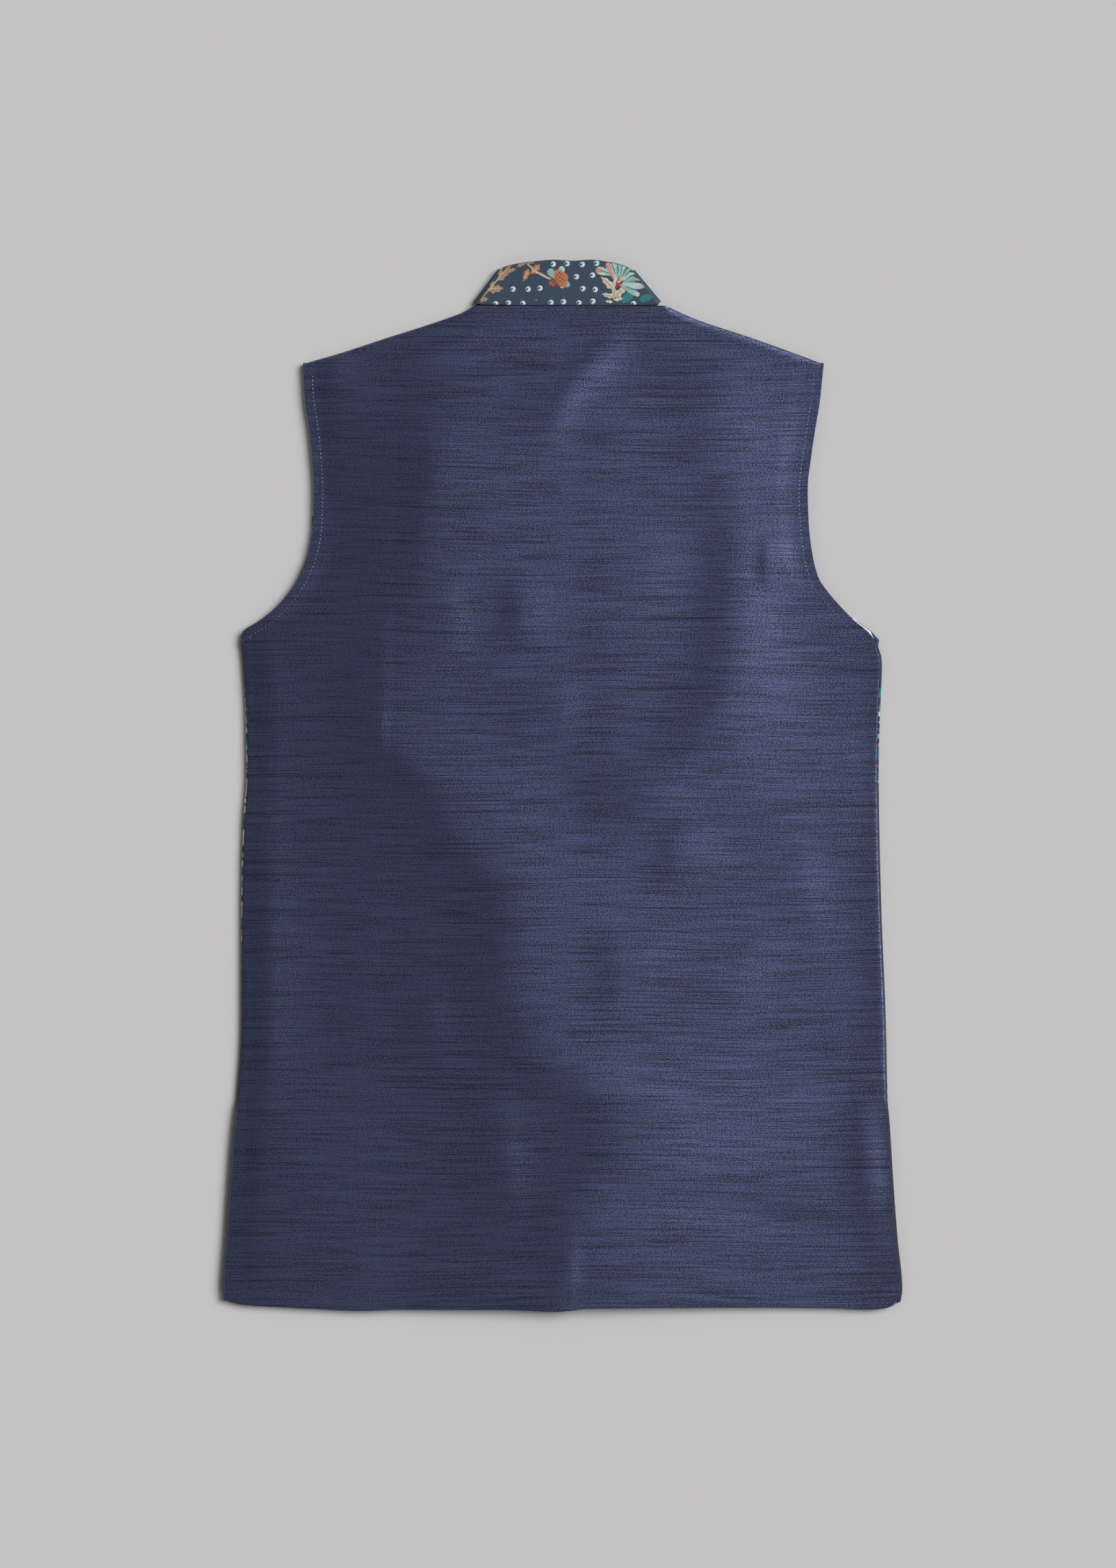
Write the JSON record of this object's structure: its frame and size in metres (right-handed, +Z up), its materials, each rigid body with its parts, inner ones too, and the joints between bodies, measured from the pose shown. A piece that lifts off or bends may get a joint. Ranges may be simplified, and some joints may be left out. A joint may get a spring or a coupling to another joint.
{
  "type": "nehru jacket lying flat",
  "caption": "Sleeveless Nehru jacket laid flat, back up: silk back with side vents, printed fronts lapped below it, stand collar folded flat.",
  "frame": {"origin": "on the surface that the jacket lies on, under the middle of its outline", "axes": "+X towards the wearer's right, +Y from the hem towards the collar, +Z up from the surface, out of the jacket's back"},
  "size_m": [0.5, 0.7724, 0.015],
  "materials": {
    "navy_dupion": "slubbed silk with a soft sheen",
    "printed_brocade": "matt woven ground with a floral print",
    "lining_satin": "smooth satin",
    "antique_brass": "satin, darkened"
  },
  "bodies": {
    "root": {"back": "navy_dupion", "left_front": "printed_brocade", "right_front": "printed_brocade", "collar": "printed_brocade", "left_lining": "lining_satin", "right_lining": "lining_satin", "button_1": "antique_brass", "button_2": "antique_brass", "button_3": "antique_brass", "button_4": "antique_brass", "button_5": "antique_brass"}
  },
  "joints": []
}
